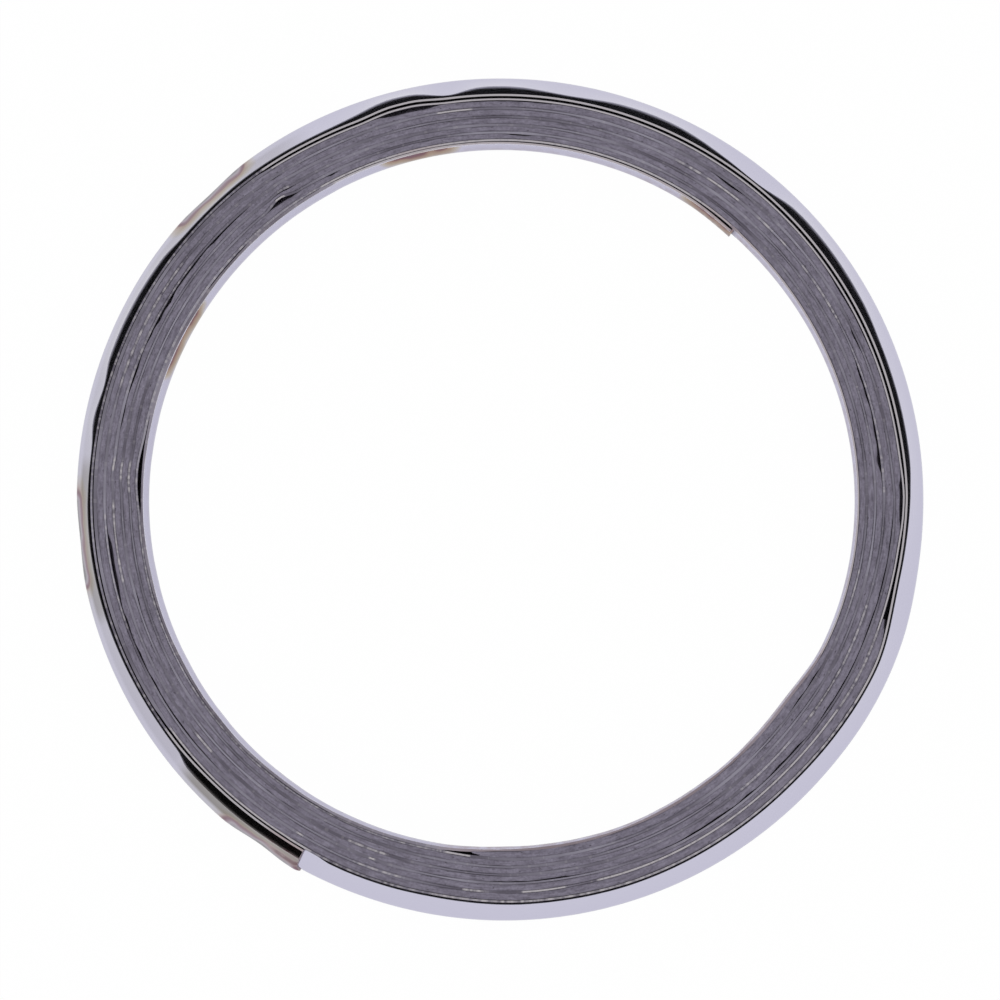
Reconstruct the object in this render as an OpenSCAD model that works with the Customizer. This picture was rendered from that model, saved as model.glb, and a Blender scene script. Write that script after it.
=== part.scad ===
// Exhaust ring gasket: one V-formed steel strip wound in a spiral, with a graphite tape between its turns.
// The origin is on the ring's axis at the lower sealing face, with +Z up. Lengths are in millimetres.
// Angles are seen from above, anticlockwise from +X, and run on past 360 from one turn to the next.

/* [Ring] */
// Radius of the bore, at the inner face of the first turn
bore_r = 30; // [24:0.5:60]
// Height of the ring from sealing face to sealing face
ring_h = 5; // [4.6:0.1:6]

/* [Steel strip] */
// Thickness of the strip
strip_t = 0.2; // [0.15:0.01:0.25]
// Height of the straight lip along each edge of the strip
lip_h = 0.4; // [0.3:0.05:0.6]
// Angle between the flanks and the ring's axis
flank_angle = 37; // [30:1:42]
// Radius inside the bend at the nose
nose_r = 0.5; // [0.3:0.05:0.7]
// Radius outside the bends between the lips and the flanks
bend_r = 0.3; // [0.2:0.05:0.5]
// Least gap between two turns with no tape between them
turn_gap = 0.02; // [0.02:0.01:0.06]

/* [Graphite tape] */
// Thickness of the tape where it shows between two turns
tape_t = 0.49; // [0.4:0.01:0.6]
// Height by which the tape stands proud of the strip's edges on each face
tape_proud = 0.1; // [0.05:0.05:0.2]
// Clearance between the tape and the strip on each side
seat_gap = 0.01; // [0.01:0.005:0.02]

/* [Winding] */
// Angle of the strip's inner end
strip_start = 49; // [45:1:60]
// Angle that the strip is wound through, inner end to outer end
strip_sweep = 2712; // [2640:1:2720]
// Angle of the tape's inner end
tape_start = 267; // [240:1:280]
// Angle that the tape is wound through, inner end to outer end
tape_sweep = 1875.5; // [1860:0.5:1900]
// Angle in which a turn rises over the inner end of the tape, and falls past its outer end
spread_sweep = 24; // [24:1:30]

/* [Hidden] */
$fn = 180;

// Flat steps that a true bend of the strip is drawn with
bend_steps = 1;
nose_steps = 4;

strip_end = strip_start + strip_sweep;
tape_end = tape_start + tape_sweep;

// Distance from a turn to the next, with the tape between them and without it
taped_pitch = strip_t + tape_t;
bare_pitch = strip_t / cos(flank_angle) + turn_gap;

// Heights from the ring's middle plane
strip_half_h = ring_h / 2 - tape_proud;
fold_z = strip_half_h - lip_h;

// Centres of the bends, measured outward from the strip's inner face at the lip
nose_x = (fold_z * sin(flank_angle) - nose_r) / cos(flank_angle);
bend_x = bend_r + strip_t;
bend_z = fold_z + bend_x * tan(flank_angle / 2);

function direction(angle) = [cos(angle), sin(angle)];
function backwards(list) = [for (i = [len(list) - 1 : -1 : 0]) list[i]];
function shifted(list, x) = [for (p = list) p + [x, 0]];
function arc_points(centre, r, from, to, steps) =
    [for (i = [0 : steps]) centre + r * direction(from + (to - from) * i / steps)];

// The V that lies a distance outside the strip's inner face, from its top edge to its bottom edge
function v_line(distance, half_h) = concat(
    [[distance, half_h]],
    arc_points([bend_x, bend_z], bend_x - distance, 180, 180 + flank_angle, bend_steps),
    arc_points([nose_x, 0], nose_r + distance, flank_angle, -flank_angle, nose_steps),
    arc_points([bend_x, -bend_z], bend_x - distance, 180 - flank_angle, 180, bend_steps),
    [[distance, -half_h]]);

// The spiral is a chain of tangent arcs, and a bend is [angle, growth]: there the radius grows by that much
// and the centre moves back by as much, so the line runs on without a corner. Growth at both ends of a half
// turn moves the spiral outward in it. A rise is three bends close together, after which the centre is back.
half_turn = 180;
climb_growth = bare_pitch / (1 - cos(strip_start + 360 - tape_start));
spread = taped_pitch - 2 * climb_growth;
spread_growth = spread / 2 / (1 - cos(spread_sweep / 2));

function rise_bends(angle, growth) = [
    [angle, growth],
    [angle + spread_sweep / 2, -2 * growth * cos(spread_sweep / 2)],
    [angle + spread_sweep, growth]];

// Each turn climbs over the strip's inner end, then rises over the tape's inner end. The turn that passes
// the tape's outer end closes in again in the middle of its climb.
turns = ceil(strip_sweep / 360);
tape_turns = floor(tape_sweep / 360);
bends = [for (turn = [0 : turns - 1])
    each concat(
        [[tape_start + 360 * turn, climb_growth]],
        turn == tape_turns + 1 ? rise_bends(tape_end + 360, -spread_growth) : [],
        [[tape_start + 360 * turn + half_turn, climb_growth]],
        rise_bends(tape_start + 360 * (turn + 1) - spread_sweep, spread_growth))];

// Radius and centre of the strip's inner face after the first bends
function radius_after(count) = count == 0 ? bore_r : radius_after(count - 1) + bends[count - 1][1];
function centre_after(count) = count == 0 ? [0, 0]
    : centre_after(count - 1) - bends[count - 1][1] * direction(bends[count - 1][0]);

// Moves to a place in two steps, whole hundredths and then the rest, so that neighbouring arcs, which
// reach the same place by different sums, meet there without a rounding step between them
module placed(x, y, z = 0) {
    place = [x, y, z];
    hundredths = [for (value = place) round(value * 100) / 100];
    translate(hundredths) translate(place - hundredths) children();
}

// Winds a section, drawn outward from the strip's inner face, along the spiral between two angles
module wound(from, to) {
    for (i = [0 : len(bends) - 1]) {
        a = max(i == 0 ? strip_start : bends[i - 1][0], from);
        b = min(bends[i][0], to);
        if (b > a)
            placed(centre_after(i).x, centre_after(i).y, ring_h / 2)
                rotate_extrude(start = a % 360, angle = b - a)
                    placed(radius_after(i), 0)
                        children();
    }
}

module winding_strip() {
    color([0.80, 0.78, 0.76])
        wound(strip_start, strip_end)
            polygon(concat(v_line(0, strip_half_h), backwards(v_line(strip_t, strip_half_h))));
}

module filler_tape() {
    near_side = v_line(strip_t + seat_gap, ring_h / 2);
    far_side = shifted(v_line(-seat_gap, ring_h / 2), taped_pitch);
    color([0.42, 0.41, 0.46])
        wound(tape_start, tape_end)
            polygon(concat(near_side, backwards(far_side)));
}

winding_strip();
filler_tape();
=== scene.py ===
"""Dresses the exhaust ring gasket: the wound steel strip and the graphite tape between its turns.

Both are drawn again along the same spiral as the CAD solids, with the dents, gaps, clean edges and
heat marks of the photographed ring. Lengths are in millimetres until a mesh is made. Angles are in
degrees, anticlockwise from +X seen from above, and run on past 360 from one turn to the next.
"""
import bisect
import math
import random

import bpy
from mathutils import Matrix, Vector


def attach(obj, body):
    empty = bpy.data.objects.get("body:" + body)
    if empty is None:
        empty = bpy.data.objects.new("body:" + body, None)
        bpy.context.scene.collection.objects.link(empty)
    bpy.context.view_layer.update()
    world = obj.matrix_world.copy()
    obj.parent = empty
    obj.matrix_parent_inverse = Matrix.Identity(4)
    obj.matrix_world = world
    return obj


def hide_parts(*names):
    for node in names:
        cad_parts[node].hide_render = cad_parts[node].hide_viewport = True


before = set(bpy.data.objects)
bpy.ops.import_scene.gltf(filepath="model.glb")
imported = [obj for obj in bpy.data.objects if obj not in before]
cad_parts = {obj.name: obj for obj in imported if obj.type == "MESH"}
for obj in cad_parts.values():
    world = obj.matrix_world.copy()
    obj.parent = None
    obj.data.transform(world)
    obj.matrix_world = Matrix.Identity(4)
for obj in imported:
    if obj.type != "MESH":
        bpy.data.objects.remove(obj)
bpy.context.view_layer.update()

MM = 0.001
FULL_TURN = 360.0

# The winding, as in the CAD model
BORE_R = 30.0
RING_H = 5.0
STRIP_T = 0.2
LIP_H = 0.4
FLANK_ANGLE = 37.0
NOSE_R = 0.5
BEND_R = 0.3
TURN_GAP = 0.02
TAPE_T = 0.49
TAPE_PROUD = 0.1
SEAT_GAP = 0.01
STRIP_START = 49.0
STRIP_SWEEP = 2712.0
TAPE_START = 267.0
TAPE_SWEEP = 1875.5
STRIP_END = STRIP_START + STRIP_SWEEP
TAPE_END = TAPE_START + TAPE_SWEEP
LAST_TURN = STRIP_END - FULL_TURN

STRIP_HALF_H = RING_H / 2 - TAPE_PROUD
FOLD_Z = STRIP_HALF_H - LIP_H

# How far the strip's edges stand above the CAD model's, nearly flush with the tape, and their bevel
EDGE_RISE = 0.06
EDGE_ROUND = 0.035
# How far smeared graphite covers the gap on each side of an edge
EDGE_COVER = 0.012

# Angle from one section of the drawn bands to the next, and the angle that keeps an edge sharp
STEP = 0.8
SHARP_ANGLE = 40.0
# Length of the strip in a degree, with which the textures are laid along it
ARC_PER_DEGREE = 0.59

# Where each turn rises over the tape's inner end and falls past its outer end: [start, sweep]
OPENING = (258.0, 18.0)
CLOSING = (TAPE_END + FULL_TURN - 7.0, 14.0)

# Distance between two bare turns, and the rise of a turn over the strip's inner end and the tape's
BARE_PITCH = STRIP_T / math.cos(math.radians(FLANK_ANGLE)) + TURN_GAP
CLIMB = 2 * BARE_PITCH / (1 - math.cos(math.radians(STRIP_START + FULL_TURN - TAPE_START)))
SPREAD = STRIP_T + TAPE_T - CLIMB

# The camera looks down from this place at this point. Its reach is in metres.
CAMERA_PLACE = (11.85, -11.89, 390.0)
CAMERA_AIM = (0.05, -0.09, 2.5)
CAMERA_LENS = 166.3
CAMERA_REACH = 10

# How far the photographed ring lies outside the true spiral: at its bore, half way through the winding
# beyond the mean of the two, and at its outermost edge
BORE_SHIFT = [
    (0, -0.28), (10, -0.33), (30, -0.46), (44, -0.50), (54, -0.42), (90, -0.37), (130, -0.30),
    (190, -0.26), (222, -0.36), (250, -0.50), (262, -0.57), (290, -0.44), (315, -0.58), (325, -0.60),
    (335, -0.34), (345, -0.25)]
MIDDLE_SHIFT = [
    (0, -0.08), (30, -0.12), (60, -0.15), (90, -0.16), (115, -0.14), (130, 0.02), (165, 0.04),
    (190, -0.14), (222, -0.12), (250, -0.20), (262, -0.10), (280, -0.20), (300, -0.14), (325, -0.14),
    (338, -0.22), (352, -0.06)]
EDGE_SHIFT = [
    (0, -0.02), (10, -0.17), (30, -0.28), (45, -0.32), (60, -0.38), (75, -0.40), (92, -0.44),
    (115, -0.44), (130, -0.24), (165, -0.13), (190, -0.10), (210, -0.30), (235, -0.53), (250, -0.40),
    (262, -0.45), (275, -0.62), (290, -0.50), (315, -0.46), (325, -0.28), (335, -0.10), (345, -0.16),
    (353, -0.12)]

# Radius of the outermost turn's nose along its last turn
NOSE_RADIUS = [
    (2401, 35.22), (2412, 35.23), (2430, 35.32), (2460, 35.53), (2480, 35.69), (2490, 35.82),
    (2500, 35.80), (2511, 35.56), (2530, 35.52), (2570, 35.50), (2610, 35.42), (2650, 35.60),
    (2700, 35.61), (2740, 35.54), (2761, 35.54)]

# Width of the rolled shoulder beside the outermost edge
SHOULDER_WIDTH = [
    (2401, 0.02), (2403.5, 0.04), (2405, 0.17), (2500, 0.17), (2520, 0.24), (2526, 0.42), (2542, 0.46),
    (2548, 0.62), (2564, 0.66), (2570, 0.14), (2576, 0.28), (2584, 0.66), (2592, 0.64), (2600, 0.34),
    (2608, 0.66), (2613, 0.62), (2617, 0.20), (2622, 0.52), (2628, 0.56), (2634, 0.30), (2650, 0.28),
    (2660, 0.30), (2665, 0.56), (2680, 0.56), (2684, 0.26), (2689, 0.46), (2693, 0.20), (2703, 0.28),
    (2716, 0.26), (2738, 0.22), (2741, 0.64), (2761, 0.70)]

# Dents that push a stretch of the strip in or out: [start, end, length of the slope at each end, shift]
STRIP_DENTS = [
    (40, 58, 8, -0.10), (260, 336, 12, -0.24), (440, 640, 20, -0.05), (529, 544, 7, 0.25),
    (892, 901, 4, 0.15), (843, 849.5, 3.2, 0.34), (1253, 1260, 3, 0.12), (1613.5, 1619.5, 3, 0.10),
    (1203, 1208, 2.5, 0.14), (1562, 1567, 2.5, 0.06), (2257, 2271, 6, 0.24), (2617, 2631, 6, 0.26),
    (2152, 2166, 6, 0.12), (2738, 2768, 8, -0.06), (1728, 1806, 10, 0.16), (2076, 2132, 8, -0.08)]

# Cracks between the tape and the turn outside it, drawn as the dents are: [start, end, slope, width]
TAPE_CRACKS = [
    (1080, 1102, 3, 0.11), (1083, 1088, 2, 0.06), (1210, 1251, 3, 0.10), (1226, 1236, 4, 0.07),
    (1622, 1665, 3, 0.09), (1623, 1637, 4, 0.10), (1348, 1362, 3, 0.07), (1374, 1402, 2, 0.11),
    (1405, 1438, 3, 0.07), (323, 333, 3, 0.11), (913.5, 917.5, 2, 0.09), (483, 489.5, 3.2, 0.34),
    (842.5, 847, 2, 0.09), (1563.5, 1566, 1.2, 0.05), (1897.5, 1909, 4, 0.34), (1795, 1804, 3.5, 0.24),
    (1880, 1897, 3, 0.05), (1825, 1836, 3, 0.07), (1819, 1835, 3, 0.05), (1461.5, 1466, 1.5, 0.08),
    (1490.5, 1497, 3, 0.16), (444, 449.5, 2, 0.07), (951, 953, 1, 0.08), (954, 957, 1, 0.06),
    (2039.5, 2042, 1.2, 0.09), (476, 478.5, 1.2, 0.10)]

# Stretches where graphite is pressed into the gap between two bare turns: [start, end], the length
# of the slope at each end, and how much of the gap's width it takes up
FILLED_GAPS = [(119, 136), (143, 168), (181, 262), (2285, 2373)]
FILLED_SLOPE = 2.0
FILLED_WIDTH = 0.075

# Heat-browned stretches: [start, end, slope, share]
SCORCHED = [
    (44, 58, 3, 0.95), (50, 70, 6, 0.5), (62, 112, 8, 0.3), (112, 262, 10, 0.12), (258, 340, 6, 0.6),
    (340, 409, 6, 0.35), (400, 416, 3, 0.6), (458, 468, 3, 0.5), (2753, 2770, 5, 1.0)]

# Stretches hazed by the heat of the welds, in the same way
HAZED = [
    (2636, 2672, 8, 0.35), (2660, 2702, 8, 0.25), (2692, 2720, 5, 0.75), (2712, 2744, 6, 0.3),
    (2738, 2775, 5, 0.95)]

# Cracks wider than this keep an even edge
WIDE_CRACK = 0.2

# How far the ends of the tape slant, and over what angle
TAPE_SLANT = 1.3
SLANT_REACH = 3.0

# The tape's crown: [share of its width, how far its face sags there]. Its rims, where the graphite gets
# painted shade, reach this far down.
TAPE_CROWN = [(0.0, 0.07), (0.12, 0.02), (0.35, 0.0), (0.65, 0.0), (0.88, 0.02), (1.0, 0.07)]
RIM_DEPTH = 0.2

# Uneven curves: [seed, lowest value, highest value]. They are the share of the bevel that the strip's
# edges keep, of the sag at the tape's two rims, and of the width of its cracks.
OPEN_EDGE = (11, -0.4, 1.0)
NEAR_SAG = (3, 0.1, 1.1)
FAR_SAG = (5, 0.1, 1.1)
TEAR = (8, 0.35, 1.5)
# Least and greatest angle between two knots of such a curve, and how far it runs on past its end
KNOT_STEPS = (2.5, 9.0)
TEAR_STEPS = (0.9, 3.0)
PAST_END = 20.0

# How bare of graphite the strip's edge is: [start, end, share], and the slope at both ends
BARE_SLOPE = 0.5
BARE_EDGES = [
    (49, 118, 0.9), (118, 262, 0.05), (845, 847.5, 0.9), (1203.5, 1206, 0.4), (334, 408, 1.0),
    (409, 480, 0.8), (480, 622, 0.3), (703, 709, 0.4), (1088, 1098, 0.15), (1440, 1463, 0.25),
    (1467, 1475, 0.4), (1476, 1477.5, 0.7), (1481, 1482.5, 0.8), (1484, 1487, 0.55), (1491, 1497, 0.75),
    (1497, 1502.5, 0.42), (621.5, 625.5, 0.9), (1326, 1333, 0.5), (1389, 1400, 0.38),
    (1403, 1425, 0.38), (1582, 1604, 0.28), (1620, 1633, 0.5), (1657, 1662, 0.6), (1690, 1691.5, 0.9),
    (1894, 1899, 1.0), (1943, 1964, 0.4), (1982, 2000, 0.3), (2038.5, 2040, 0.9), (2048, 2056, 0.42),
    (2064.5, 2068, 0.6), (2073, 2080, 0.8), (2084, 2128, 0.75), (2128, 2140, 0.42), (2140, 2285, 0.95),
    (2285, 2375, 0.0), (2375, 2402, 0.8), (2402, 2420, 0.3), (2420, 2490, 0.5), (2490, 2646, 1.0),
    (2646, 2735, 0.22), (2735, 2762, 1.0), (894, 899, 0.5), (1254, 1258, 0.5), (1613.5, 1616.5, 0.6)]

# Finishes
STEEL = (0.57, 0.555, 0.69)
TEMPER_COLORS = [
    (0.0, (0.22, 0.21, 0.23)), (0.10, (0.34, 0.32, 0.36)), (0.20, (0.39, 0.345, 0.40)),
    (0.29, (0.29, 0.205, 0.255)), (0.36, (0.21, 0.125, 0.165)), (0.46, (0.22, 0.12, 0.135)),
    (0.54, (0.37, 0.26, 0.215)), (0.64, (0.43, 0.34, 0.275)), (0.80, (0.52, 0.47, 0.44)), (1.0, STEEL)]
HAZE_COLOR = (0.49, 0.475, 0.54)
STRAW_COLOR = (0.15, 0.13, 0.11)
SCORCH_COLORS = [(0.5, (0.36, 0.28, 0.29)), (1.0, (0.16, 0.085, 0.10))]
SMEARED_STEEL = (0.11, 0.10, 0.12)
CLEAN_EDGE = (0.41, 0.385, 0.41)
SMEARED_EDGES = [(0.35, (0.105, 0.094, 0.123)), (0.65, (0.25, 0.235, 0.29))]
GRAPHITE_COLORS = [(0.0, (0.09, 0.08, 0.108)), (0.5, (0.168, 0.152, 0.20)), (1.0, (0.25, 0.23, 0.295))]
# Near-black painted shade, for the hollows of the pits and the grooves at the tape's rims
PIT_AND_RIM_SHADE_COLOR = (0.035, 0.030, 0.038)

# Steel: roughness from smooth to rough, what smeared graphite adds, and how well graphite covers it
STEEL_ROUGHNESS = (0.08, 0.18)
SMEAR_ROUGHNESS = 0.4
SMEAR_COVER = 0.85
SMEAR_SWEEP = 2.0
# Where the strip's outer side comes out into view, and where its inner side goes out of view
OUTER_SMEAR_END = LAST_TURN - 0.5
INNER_SMEAR_START = STRIP_START + FULL_TURN - 1.0

# The temper colours reach this far in and out from a weld's outline, which wanders by this much
TEMPER_REACH = 1.1
WELD_WANDER = 0.25
# Distances from the nose along the section: where haze turns to straw, and burns begin and end
STRAW_SPAN = (0.8, 1.35)
LIP_BURN = (1.9, 2.4)
FLANK_BURN_START = (0.4, 1.0)
FLANK_BURN_END = (2.1, 1.4)
# Distances from a weld's outline between which haze sets in, and its share before and after
HAZE_SETS_IN = (-0.2, 0.3, 0.0, 0.9)
# How hard a stretch is scorched before its flank burns, and the stain noise that shows as burns
FLANK_SCORCH = (0.4, 1.0)
LIP_STAINS = (0.35, 0.6)
FLANK_STAINS = (0.1, 0.45)
STEEL_BUMP = (0.004, 0.5)

# Slit edges: how their clean share and their grain add up to bare steel, and how brown and glossy
# they are
BARE_GAIN = 1.7
BARE_GRAIN = (0.4, 0.6, -0.7, 0.15)
EDGE_SCORCH = 0.7
EDGE_ROUGHNESS = 0.6
EDGE_SPECULAR = 0.2

# Graphite: shares of streaks, grains and clouds in its tone, the painted shade at its rims, its pits with
# their painted shade, and its gloss
STREAK_SHARE, GRAIN_SHARE, CLOUD_SHARE = 0.5, 0.35, 0.15
TONE_SPAN = (0.34, 0.66)
RIM_SHADE_SPAN = (0.5, 1.0)
SHADE_PATCH_SPAN = (0.4, 0.65)
RIM_SHADE_SHARE = 0.45
PIT_SPAN = (0.66, 0.72)
PIT_SHARE = 0.7
PIT_DEPTH = 0.5
GRAPHITE_ROUGHNESS = (0.55, 0.85)
GRAPHITE_SPECULAR = 0.25
GRAPHITE_BUMP = (0.07, 0.7)

# Noises: (scale, detail, roughness), and the span in which most of a noise lies
STEEL_STREAKS = (9.0, 4.0)
WELD_WAVES = (0.45, 1.5)
STAINS = (1.3, 4.0, 0.6)
EDGE_GRAIN = (1.8, 3.0)
EDGE_DRIFT = (0.12, 3.0)
GRAPHITE_STREAKS = (5.0, 4.0, 0.6)
GRAPHITE_GRAINS = (4.0, 5.0, 0.65)
GRAPHITE_CLOUDS = (0.35, 2.0)
# Patches of the painted shade at the tape's rims
SHADE_PATCHES = (2.0, 3.0)
PITS = (5.5, 3.0, 0.5)
NOISE_SPAN = (0.3, 0.7)
# Factors on the length along the strip, which draw the streaks of a noise out along the winding
STEEL_STRETCH = 0.08
GRAPHITE_STRETCH = 0.2
# Draws the patches of painted rim shade out along the winding
SHADE_PATCH_STRETCH = 0.3
PIT_STRETCH = 0.4
# Places that keep the noises of one surface apart
STAIN_PLACE, DRIFT_PLACE, CLOUD_PLACE, SHADE_PATCH_PLACE, PIT_PLACE = 5.0, 3.0, 9.0, 2.0, 4.0

# Half width of the floor in metres, and how far it lies under the ring's lower face
FLOOR_HALF_W = 3.0
FLOOR_DROP = 0.01
FLOOR_COLOR = (0.8, 0.8, 0.8)

# Share of the floor's white that is plain glow, to the camera and to mirror rays
GLOW_SEEN = 0.985
GLOW_MIRRORED = 0.75

# The studio in mirror rays: the generated heights between which its white darkens, and to what
CEILING_SPAN = (0.45, 0.68)
CEILING_LIGHT = 0.004

# Spot welds: [angle of the middle, half length in degrees, half height along the section, depth of
# the dip in the nose], and the radius of a weld's corners
WELDS = [
    (2653.5, 6.5, 1.38, 0.16), (2705.5, 7.0, 1.38, 0.14), (2755.0, 6.2, 1.38, 0.28),
    (53.5, 4.8, 2.05, 0.0), (103.0, 5.5, 2.0, 0.0), (153.0, 6.0, 1.9, 0.0)]
WELD_CORNER = 1.2

# The strip's outer end: the angle that its nose runs on past its lips, the angle within which it
# starts to, and the half height and the curve of the part that does
END_LEAN = 0.8
END_REACH = 3.0
END_HALF_H = 0.5
END_CURVE = 0.8
# How far the nose of the end turns in, and over what angle
END_ROUND = 0.16
END_ROUND_SWEEP = 0.6
# Height from the middle plane above which its lips lie down on the turn below
END_LIP_Z = 1.0
# Angles before the end at which its last sections lie
END_STEPS = (0.5, 0.3, 0.15, 0.05, 0)

# The rolled shoulder: [share of its width, drop as a share of its width]
SHOULDER_SHAPE = [(0.5, 0.06), (1.0, 0.3)]
# Where the flank begins, as a share of its run and of its drop
FLANK_START = (0.06, 0.12)


def cosine(angle):
    return math.cos(math.radians(angle))


def sine(angle):
    return math.sin(math.radians(angle))


def curve_through(knots, period=None):
    """A smooth curve through [place, value] knots, closed on itself where it has a period."""
    places = [place for place, value in knots]
    values = [value for place, value in knots]
    if period:
        places = [places[-1] - period] + places + [places[0] + period]
        values = [values[-1]] + values + [values[0]]

    def slope(i):
        a, b = max(i - 1, 0), min(i + 1, len(places) - 1)
        return (values[b] - values[a]) / (places[b] - places[a])

    def value_at(place):
        if period:
            place = (place - knots[0][0]) % period + knots[0][0]
        place = min(max(place, places[0]), places[-1])
        i = min(max(bisect.bisect_right(places, place) - 1, 0), len(places) - 2)
        span = places[i + 1] - places[i]
        u = (place - places[i]) / span
        return ((2 * u ** 3 - 3 * u ** 2 + 1) * values[i] + (u ** 3 - 2 * u ** 2 + u) * span * slope(i)
                + (3 * u ** 2 - 2 * u ** 3) * values[i + 1] + (u ** 3 - u ** 2) * span * slope(i + 1))
    return value_at


def dent(angle, start, end, slope):
    """1 between the slopes of a dent, falling smoothly to 0 at its start and end."""
    u = min(max(min(angle - start, end - angle) / slope, 0), 1)
    return u * u * (3 - 2 * u)


def eased(angle, start, sweep):
    """The share of a rise that lies behind at an angle, from 0 before it to 1 past it."""
    return (1 - cosine(180 * min(max((angle - start) / sweep, 0), 1))) / 2


def true_radius(angle):
    """Distance from the ring's axis to the strip's inner face on the true spiral."""
    radius = BORE_R - SPREAD * eased(angle, *CLOSING)
    for turn in range(math.ceil(STRIP_SWEEP / FULL_TURN)):
        radius += CLIMB * eased(angle, TAPE_START + FULL_TURN * turn, FULL_TURN / 2)
        radius += SPREAD * eased(angle, OPENING[0] + FULL_TURN * (turn + 1), OPENING[1])
    return radius


bore_shift = curve_through(BORE_SHIFT, FULL_TURN)
middle_shift = curve_through(MIDDLE_SHIFT, FULL_TURN)
edge_shift = curve_through(EDGE_SHIFT, FULL_TURN)
nose_radius = curve_through(NOSE_RADIUS)
shoulder_width = curve_through(SHOULDER_WIDTH)
WINDING_DEPTH = true_radius(STRIP_END) - BORE_R


def strip_radius(angle):
    """Distance from the ring's axis to the strip's inner face on the photographed ring."""
    radius = true_radius(angle)
    depth = (radius - BORE_R) / WINDING_DEPTH
    radius += bore_shift(angle) * (1 - depth) + edge_shift(angle) * depth
    radius += middle_shift(angle) * 4 * depth * (1 - depth)
    return radius + sum(shift * dent(angle, start, end, slope) for start, end, slope, shift in STRIP_DENTS)


def v_line(distance, half_h):
    """The V of the strip's section at a distance outside its inner face, top to bottom, as [x, z]."""
    nose_x = (FOLD_Z * sine(FLANK_ANGLE) - NOSE_R) / cosine(FLANK_ANGLE)
    bend_x = BEND_R + STRIP_T
    bend_z = FOLD_Z + bend_x * math.tan(math.radians(FLANK_ANGLE / 2))
    top = [(distance, half_h), (distance, bend_z), (
        bend_x - (bend_x - distance) * cosine(FLANK_ANGLE),
        bend_z - (bend_x - distance) * sine(FLANK_ANGLE))]
    nose = [(nose_x + (NOSE_R + distance) * cosine(a), (NOSE_R + distance) * sine(a))
            for a in (FLANK_ANGLE, FLANK_ANGLE / 2)]
    half = top + nose
    middle = (nose_x + NOSE_R + distance, 0.0)
    return half + [middle] + [(x, -z) for x, z in reversed(half)]


def lipped_line(distance, rounding):
    """The V with its lips drawn up to the pressed edges, where it turns in by the rounding."""
    top = STRIP_HALF_H + EDGE_RISE
    line = [(distance + rounding, top), (distance, top - abs(rounding))] + v_line(distance, top)[1:-1]
    return line + [(distance, abs(rounding) - top), (distance + rounding, -top)]


def last_turn_line(angle, distance, rounding):
    """The outermost turn's section: its lip rolls over into a shoulder, and its nose meets the outline."""
    width = shoulder_width(angle)
    reach = nose_radius(angle) - strip_radius(angle) - STRIP_T + distance
    reach -= END_ROUND * max(0, 1 - (STRIP_END - angle) / END_ROUND_SWEEP) ** 2
    for place, half_length, half_height, depth in WELDS:
        reach -= depth * dent(angle, place - half_length, place + half_length, half_length)
    top = STRIP_HALF_H + EDGE_RISE
    shoulder = [(distance + rounding, top)]
    shoulder += [(distance + share * width, top - fall * width) for share, fall in SHOULDER_SHAPE]
    start_x, start_z = shoulder[-1]
    nose_r = NOSE_R + distance
    drop = start_z - nose_r * sine(FLANK_ANGLE)
    run = reach - nose_r * (1 - cosine(FLANK_ANGLE)) - start_x
    flank = [(start_x + run * FLANK_START[0], start_z - drop * FLANK_START[1])]
    nose = [(reach - nose_r * (1 - cosine(a)), nose_r * sine(a)) for a in (FLANK_ANGLE, FLANK_ANGLE / 2)]
    half = shoulder + flank + nose
    return half + [(reach, 0.0)] + [(x, -z) for x, z in reversed(half)]


def between(line, other, shares):
    """The line whose points each lie a share of the way from one line to another."""
    return [(x + (u - x) * share, z + (v - z) * share)
            for (x, z), (u, v), share in zip(line, other, shares)]


def at(radius, angle, height):
    """The point at a radius, an angle and a height from the ring's middle plane."""
    return radius * cosine(angle) * MM, radius * sine(angle) * MM, (height + RING_H / 2) * MM


def mesh_object(name, sections, attributes):
    """A closed band through the sections, each a loop of points."""
    verts, faces = [point for section in sections for point in section], []
    count = len(sections[0])
    for i in range(len(sections) - 1):
        for k in range(count):
            a, b = i * count + k, i * count + (k + 1) % count
            faces.append((a, b, b + count, a + count))
    last = (len(sections) - 1) * count
    for k in range(count // 2 - 1):
        faces.append((k, count - 1 - k, count - 2 - k, k + 1))
        faces.append((last + k, last + k + 1, last + count - 2 - k, last + count - 1 - k))
    mesh = bpy.data.meshes.new(name)
    mesh.from_pydata(verts, [], faces)
    for label, values in attributes.items():
        mesh.attributes.new(label, "FLOAT", "POINT").data.foreach_set("value", values)
    mesh.shade_smooth()
    mesh.set_sharp_from_angle(angle=math.radians(SHARP_ANGLE))
    piece = bpy.data.objects.new(name, mesh)
    bpy.context.collection.objects.link(piece)
    return piece


def angles_between(start, end):
    """The angles of a band's sections, evenly spaced."""
    count = math.ceil((end - start) / STEP)
    return [start + (end - start) * i / count for i in range(count + 1)]


def lengths_from_nose(line):
    """How far along the section each of its points lies from the nose, above it or below it."""
    middle = len(line) // 2
    steps = [math.dist(a, b) for a, b in zip(line, line[1:])]
    above = [sum(steps[k:middle]) for k in range(middle)]
    return above + [sum(steps[middle:k]) for k in range(middle, len(line))]


def nearest_weld(angle):
    """The distance to the end of the nearest weld, below 0 inside it, and the weld's half height."""
    away, half_height = min((abs(angle - weld[0]) - weld[1], weld[2]) for weld in WELDS)
    return away * ARC_PER_DEGREE, half_height


def uneven(curve, start, end, steps=KNOT_STEPS):
    """A curve that wanders between two values, but not below 0, with a knot every few degrees."""
    seed, low, high = curve
    numbers = random.Random(seed)
    angle, knots = start, []
    while angle < end + PAST_END:
        knots.append((angle, max(numbers.uniform(low, high), 0)))
        angle += numbers.uniform(*steps)
    return curve_through(knots)


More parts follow.
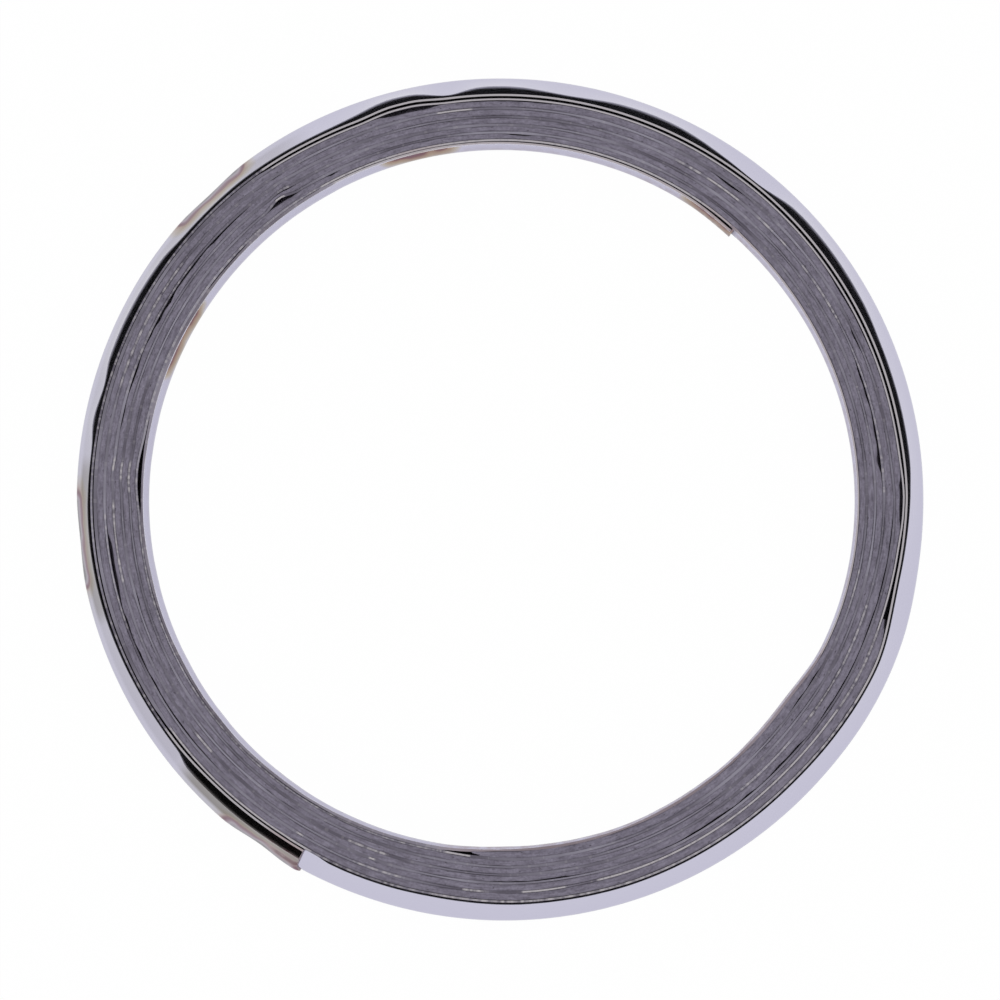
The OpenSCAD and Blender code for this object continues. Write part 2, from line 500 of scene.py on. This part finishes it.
def make_strip():
    """The wound strip, with values on its points that its materials read."""
    sections = []
    along, across, clean, weld, tall, scorch, haze, smear = [], [], [], [], [], [], [], []
    open_edge = uneven(OPEN_EDGE, STRIP_START, LAST_TURN)
    close_to_end = [STRIP_END - left for left in END_STEPS]
    for angle in angles_between(STRIP_START, STRIP_END - STEP) + close_to_end:
        radius = strip_radius(angle)
        bare = max(share * dent(angle, start, end, BARE_SLOPE) for start, end, share in BARE_EDGES)
        if angle < LAST_TURN - END_REACH:
            open_share = max(open_edge(angle), bare)
            rounding = EDGE_ROUND * open_share - EDGE_COVER * (1 - open_share)
            filled = max(dent(angle, start, end, FILLED_SLOPE) for start, end in FILLED_GAPS)
            spread = filled * (FILLED_WIDTH + rounding) - rounding
            inner, outer = lipped_line(0, rounding), lipped_line(STRIP_T, spread)
        else:
            inner, outer = last_turn_line(angle, 0, EDGE_ROUND), last_turn_line(angle, STRIP_T, 0)
        nearness = max(0, 1 - (STRIP_END - angle) / END_REACH) ** 2
        if nearness:
            # The lips of the end lie down on the turn below
            shares = [nearness * (abs(z) > END_LIP_Z) for x, z in inner]
            inner = between(inner, lipped_line(0, EDGE_ROUND), shares)
        section = outer + inner[::-1]
        lean = [END_LEAN * nearness * max(0, 1 - abs(z) / END_HALF_H) ** END_CURVE for x, z in outer]
        ahead = lean + lean[::-1]
        sections.append([at(radius + x, angle + lead, z) for (x, z), lead in zip(section, ahead)])
        burnt = max(share * dent(angle, start, end, slope) for start, end, slope, share in SCORCHED)
        misted = max(share * dent(angle, start, end, slope) for start, end, slope, share in HAZED)
        across += lengths_from_nose(outer) + lengths_from_nose(inner)[::-1]
        along += [angle * ARC_PER_DEGREE] * len(section)
        clean += [bare] * len(section)
        away, half_height = nearest_weld(angle)
        weld += [away] * len(section)
        tall += [half_height] * len(section)
        scorch += [burnt] * len(section)
        haze += [misted] * len(section)
        smear += [eased(angle, OUTER_SMEAR_END, -SMEAR_SWEEP)] * len(outer)
        smear += [eased(angle, INNER_SMEAR_START, SMEAR_SWEEP)] * len(inner)
    strip = mesh_object("strip", sections, {
        "along": along, "across": across, "clean": clean, "weld": weld, "tall": tall,
        "scorch": scorch, "haze": haze, "smear": smear})
    # The slit edges, above and below, and the two ends have their own finish
    count = len(sections[0])
    sides = (len(sections) - 1) * count
    for i, face in enumerate(strip.data.polygons):
        if i >= sides or i % count in (count - 1, count // 2 - 1):
            face.material_index = 1
    return strip


def make_tape():
    """The wound tape, with values on its points that its material reads."""
    sections, along, out, rim_shade = [], [], [], []
    half_h = RING_H / 2
    near_sag = uneven(NEAR_SAG, TAPE_START, TAPE_END)
    far_sag = uneven(FAR_SAG, TAPE_START, TAPE_END)
    tear = uneven(TEAR, TAPE_START, TAPE_END, TEAR_STEPS)
    for angle in angles_between(TAPE_START, TAPE_END):
        near = strip_radius(angle)
        far = strip_radius(angle + FULL_TURN)
        crack = sum(width * dent(angle, start, end, slope) for start, end, slope, width in TAPE_CRACKS)
        far -= crack * (tear(angle) if crack < WIDE_CRACK else 1)
        near_x, far_x = STRIP_T + SEAT_GAP, far - near - SEAT_GAP
        near_side = v_line(near_x, half_h)[1:-1]
        far_side = [(x + far_x, z) for x, z in v_line(0, half_h)[1:-1]]
        near_edge, far_edge = near_sag(angle), far_sag(angle)
        top = [(near_x + (far_x - near_x) * u, half_h - sag * (near_edge * (1 - u) + far_edge * u))
               for u, sag in TAPE_CROWN]
        half = len(top) // 2
        outer = top[half:] + far_side + [(x, -z) for x, z in top[:half - 1:-1]]
        inner = top[half - 1::-1] + near_side + [(x, -z) for x, z in top[:half]]
        section = outer + inner[::-1]
        starting = TAPE_SLANT * max(0, 1 - (angle - TAPE_START) / SLANT_REACH)
        ending = TAPE_SLANT * max(0, 1 - (TAPE_END - angle) / SLANT_REACH)
        short = [ending] * len(outer) + [starting] * len(inner)
        sections.append([at(near + x, angle - behind, z) for (x, z), behind in zip(section, short)])
        along += [angle * ARC_PER_DEGREE] * len(section)
        out += [near + x for x, z in section]
        # Share across the face from its middle to its rims, where shade is painted; 1 on its sides
        rim_shade += [abs(2 * (x - near_x) / (far_x - near_x) - 1) if abs(z) > half_h - RIM_DEPTH else 1.0
                for x, z in section]
    return mesh_object("tape", sections, {"along": along, "out": out, "rim_shade": rim_shade})


class Shader:
    """A node material, with short calls for the nodes that repeat."""

    def __init__(self, name):
        self.material = bpy.data.materials.new(name)
        self.material.use_nodes = True
        self.tree = self.material.node_tree
        self.surface = self.tree.nodes["Principled BSDF"]

    def node(self, kind, inputs=(), **settings):
        made = self.tree.nodes.new("ShaderNode" + kind)
        for key, value in settings.items():
            setattr(made, key, value)
        for key, value in dict(inputs).items():
            if isinstance(value, bpy.types.NodeSocket):
                self.tree.links.new(value, made.inputs[key])
            else:
                made.inputs[key].default_value = value
        return made

    def link(self, value, socket):
        self.tree.links.new(value, self.surface.inputs[socket])

    def attribute(self, name):
        return self.node("Attribute", attribute_name=name).outputs["Fac"]

    def math(self, operation, *values, clamp=False):
        return self.node("Math", enumerate(values), operation=operation, use_clamp=clamp).outputs[0]

    def vector(self, *values):
        return self.node("CombineXYZ", enumerate(values)).outputs[0]

    def noise(self, vector, scale, detail=3.0, roughness=0.5):
        return self.node("TexNoise", {
            "Vector": vector, "Scale": scale, "Detail": detail, "Roughness": roughness}).outputs["Fac"]

    def range(self, value, from_min, from_max, to_min=0.0, to_max=1.0):
        return self.node("MapRange", {
            "Value": value, "From Min": from_min, "From Max": from_max,
            "To Min": to_min, "To Max": to_max}).outputs["Result"]

    def mix(self, share, a, b):
        node = self.node("Mix", data_type="RGBA")
        for value, socket in (share, node.inputs[0]), (a, node.inputs[6]), (b, node.inputs[7]):
            if isinstance(value, bpy.types.NodeSocket):
                self.tree.links.new(value, socket)
            else:
                socket.default_value = value
        return node.outputs[2]

    def ramp(self, value, stops):
        node = self.node("ValToRGB", {"Fac": value})
        elements = node.color_ramp.elements
        while len(elements) < len(stops):
            elements.new(1.0)
        for element, (place, color) in zip(elements, stops):
            element.position = place
            element.color = (*color, 1)
        return node.outputs["Color"]

    def bump(self, height, distance, strength=1.0):
        self.link(self.node("Bump", {
            "Height": height, "Distance": distance * MM, "Strength": strength}).outputs[0], "Normal")


def steel_material():
    """Rolled stainless steel with the temper colours of its spot welds."""
    shader = Shader("stainless_strip")
    shader.surface.inputs["Metallic"].default_value = 1.0
    along, across = shader.attribute("along"), shader.attribute("across")
    drawn_out = shader.math("MULTIPLY", along, STEEL_STRETCH)
    streaks = shader.noise(shader.vector(drawn_out, across, 0.0), *STEEL_STREAKS)
    gloss = shader.range(streaks, *NOISE_SPAN, *STEEL_ROUGHNESS)
    shader.link(shader.math("MULTIPLY_ADD", shader.attribute("smear"), SMEAR_ROUGHNESS, gloss), "Roughness")
    waves = shader.noise(shader.vector(along, across, 0.0), *WELD_WAVES)
    # Distance outside the weld's outline, a rectangle with round corners, and below 0 inside it
    ends = shader.math("ADD", shader.attribute("weld"), WELD_CORNER)
    sides = shader.math("ADD", shader.math("SUBTRACT", across, shader.attribute("tall")), WELD_CORNER)
    beyond = [shader.math("POWER", shader.math("MAXIMUM", value, 0.0), 2.0) for value in (ends, sides)]
    outside = shader.math("SQRT", shader.math("ADD", *beyond))
    inside = shader.math("MINIMUM", shader.math("MAXIMUM", ends, sides), 0.0)
    outside = shader.math("SUBTRACT", shader.math("ADD", outside, inside), WELD_CORNER)
    outside = shader.math("ADD", outside, shader.range(waves, *NOISE_SPAN, -WELD_WANDER, WELD_WANDER))
    temper = shader.ramp(shader.range(outside, -TEMPER_REACH, TEMPER_REACH), TEMPER_COLORS)
    # Heat hazes the strip around the welds, and more toward its lips
    haze = shader.mix(shader.range(across, *STRAW_SPAN), (*HAZE_COLOR, 1), (*STRAW_COLOR, 1))
    hazed = shader.math("MULTIPLY", shader.attribute("haze"), shader.range(outside, *HAZE_SETS_IN))
    temper = shader.mix(hazed, temper, haze)
    # Burns keep to the lips, but the strongest spread over the flank
    stains = shader.noise(shader.vector(along, across, STAIN_PLACE), *STAINS)
    scorch = shader.attribute("scorch")
    lips = shader.math("MULTIPLY", shader.range(across, *LIP_BURN), shader.range(stains, *LIP_STAINS))
    flank = shader.range(across, *FLANK_BURN_START)
    flank = shader.math("MULTIPLY", flank, shader.range(across, *FLANK_BURN_END))
    flank = shader.math("MULTIPLY", flank, shader.range(scorch, *FLANK_SCORCH))
    flank = shader.math("MULTIPLY", flank, shader.range(stains, *FLANK_STAINS))
    burnt = shader.math("MULTIPLY", scorch, shader.math("MAXIMUM", lips, flank))
    color = shader.mix(burnt, temper, shader.ramp(burnt, SCORCH_COLORS))
    # Between the turns the steel is dulled by the graphite that it was wound with
    covered = shader.math("MULTIPLY", shader.attribute("smear"), SMEAR_COVER)
    shader.link(shader.mix(covered, color, (*SMEARED_STEEL, 1)), "Base Color")
    shader.bump(streaks, *STEEL_BUMP)
    return shader.material


def edge_material():
    """The strip's slit edges: dull bare steel where clean, and smeared with graphite elsewhere."""
    shader = Shader("slit_edge")
    along = shader.attribute("along")
    grain = shader.noise(shader.vector(along, 0.0, 0.0), *EDGE_GRAIN)
    clean = shader.math("MULTIPLY", shader.attribute("clean"), BARE_GAIN)
    clean = shader.math("ADD", clean, shader.range(grain, *BARE_GRAIN), clamp=True)
    drift = shader.noise(shader.vector(along, DRIFT_PLACE, 0.0), *EDGE_DRIFT)
    smeared = shader.ramp(drift, SMEARED_EDGES)
    edge = shader.mix(clean, smeared, (*CLEAN_EDGE, 1))
    burnt = shader.math("MULTIPLY", shader.attribute("scorch"), EDGE_SCORCH)
    shader.link(shader.mix(burnt, edge, (*SCORCH_COLORS[0][1], 1)), "Base Color")
    shader.surface.inputs["Roughness"].default_value = EDGE_ROUGHNESS
    shader.surface.inputs["Specular IOR Level"].default_value = EDGE_SPECULAR
    return shader.material


def graphite_material():
    """Pressed graphite, with fine streaks along the winding, a few crumbled pits with painted shade in
    them, and painted shade along its rims.
    """
    shader = Shader("graphite")
    along, out = shader.attribute("along"), shader.attribute("out")

    def drawn_out_noise(stretch, place, noise):
        return shader.noise(shader.vector(shader.math("MULTIPLY", along, stretch), out, place), *noise)

    streaks = drawn_out_noise(GRAPHITE_STRETCH, 0.0, GRAPHITE_STREAKS)
    grains = shader.noise(shader.vector(along, out, 0.0), *GRAPHITE_GRAINS)
    clouds = shader.noise(shader.vector(along, out, CLOUD_PLACE), *GRAPHITE_CLOUDS)
    tones = (streaks, STREAK_SHARE), (grains, GRAIN_SHARE), (clouds, CLOUD_SHARE)
    parts = [shader.math("MULTIPLY", noise, share) for noise, share in tones]
    blend = shader.math("ADD", shader.math("ADD", parts[0], parts[1]), parts[2])
    color = shader.ramp(shader.range(blend, *TONE_SPAN), GRAPHITE_COLORS)
    # Painted shade in the grooves between the turns: the tape darkens unevenly toward its rims
    patchy_shade = shader.range(drawn_out_noise(SHADE_PATCH_STRETCH, SHADE_PATCH_PLACE, SHADE_PATCHES), *SHADE_PATCH_SPAN)
    rim_shade = shader.math("MULTIPLY", shader.range(shader.attribute("rim_shade"), *RIM_SHADE_SPAN), patchy_shade)
    color = shader.mix(shader.math("MULTIPLY", rim_shade, RIM_SHADE_SHARE), color, (*PIT_AND_RIM_SHADE_COLOR, 1))
    # Crumbled pits: bumped in, with painted shade darkening their hollows
    pitted = shader.range(drawn_out_noise(PIT_STRETCH, PIT_PLACE, PITS), *PIT_SPAN)
    color = shader.mix(shader.math("MULTIPLY", pitted, PIT_SHARE), color, (*PIT_AND_RIM_SHADE_COLOR, 1))
    shader.link(color, "Base Color")
    shader.link(shader.range(grains, *NOISE_SPAN, *GRAPHITE_ROUGHNESS), "Roughness")
    shader.surface.inputs["Specular IOR Level"].default_value = GRAPHITE_SPECULAR
    height = shader.math("SUBTRACT", blend, shader.math("MULTIPLY", pitted, PIT_DEPTH))
    shader.bump(height, *GRAPHITE_BUMP)
    return shader.material


def make_world():
    """A white studio that lights evenly from all sides."""
    world = bpy.data.worlds.new("studio")
    bpy.context.scene.world = world
    world.use_nodes = True
    nodes, links = world.node_tree.nodes, world.node_tree.links
    background = nodes["Background"]
    output = nodes["World Output"]
    # Mirror rays see a dark ceiling above a white horizon
    place = nodes.new("ShaderNodeTexCoord")
    split = nodes.new("ShaderNodeSeparateXYZ")
    links.new(place.outputs["Generated"], split.inputs[0])
    ceiling = nodes.new("ShaderNodeMapRange")
    ceiling.inputs["From Min"].default_value = CEILING_SPAN[0]
    ceiling.inputs["From Max"].default_value = CEILING_SPAN[1]
    ceiling.inputs["To Min"].default_value = 1.0
    ceiling.inputs["To Max"].default_value = CEILING_LIGHT
    links.new(split.outputs["Z"], ceiling.inputs["Value"])
    rays = nodes.new("ShaderNodeLightPath")
    pick = nodes.new("ShaderNodeMix")
    links.new(rays.outputs["Is Glossy Ray"], pick.inputs["Factor"])
    pick.inputs["A"].default_value = 1.0
    links.new(ceiling.outputs["Result"], pick.inputs["B"])
    links.new(pick.outputs["Result"], background.inputs["Strength"])
    background.inputs["Color"].default_value = (1, 1, 1, 1)
    links.new(background.outputs[0], output.inputs[0])


def make_floor():
    """A white ground that glows to the camera and in mirrors, and keeps a little of the shadow."""
    size, z = FLOOR_HALF_W, -FLOOR_DROP * MM
    mesh = bpy.data.meshes.new("floor")
    corners = [(-size, -size, z), (size, -size, z), (size, size, z), (-size, size, z)]
    mesh.from_pydata(corners, [], [(0, 1, 2, 3)])
    floor = bpy.data.objects.new("floor", mesh)
    bpy.context.collection.objects.link(floor)
    material = bpy.data.materials.new("white_ground")
    material.use_nodes = True
    nodes, links = material.node_tree.nodes, material.node_tree.links
    shader = nodes["Principled BSDF"]
    shader.inputs["Base Color"].default_value = (*FLOOR_COLOR, 1)
    shader.inputs["Roughness"].default_value = 1.0
    shader.inputs["Specular IOR Level"].default_value = 0.0
    glow = nodes.new("ShaderNodeEmission")
    glow.inputs["Strength"].default_value = 1.0
    rays = nodes.new("ShaderNodeLightPath")
    seen = nodes.new("ShaderNodeMath")
    seen.operation = "MULTIPLY"
    seen.inputs[1].default_value = GLOW_SEEN
    links.new(rays.outputs["Is Camera Ray"], seen.inputs[0])
    share = nodes.new("ShaderNodeMath")
    share.operation = "MULTIPLY_ADD"
    share.inputs[1].default_value = GLOW_MIRRORED
    links.new(rays.outputs["Is Glossy Ray"], share.inputs[0])
    links.new(seen.outputs[0], share.inputs[2])
    mix = nodes.new("ShaderNodeMixShader")
    links.new(share.outputs[0], mix.inputs[0])
    links.new(shader.outputs[0], mix.inputs[1])
    links.new(glow.outputs[0], mix.inputs[2])
    links.new(mix.outputs[0], nodes["Material Output"].inputs[0])
    mesh.materials.append(material)


def make_camera():
    """The camera at the photograph's angle."""
    camera = bpy.data.objects.new("camera", bpy.data.cameras.new("camera"))
    bpy.context.collection.objects.link(camera)
    camera.location = Vector(CAMERA_PLACE) * MM
    right, back, rise = Vector(CAMERA_PLACE) - Vector(CAMERA_AIM)
    camera.rotation_euler = (math.atan2(-back, math.hypot(right, rise)), math.atan2(right, rise), 0)
    camera.data.lens = CAMERA_LENS
    camera.data.clip_end = CAMERA_REACH
    bpy.context.scene.camera = camera


make_camera()
make_world()
make_floor()
bpy.context.scene.view_settings.view_transform = "Standard"

strip = make_strip()
strip.data.materials.append(steel_material())
strip.data.materials.append(edge_material())
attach(strip, "root")
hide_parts("winding_strip")

tape = make_tape()
tape.data.materials.append(graphite_material())
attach(tape, "root")
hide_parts("filler_tape")
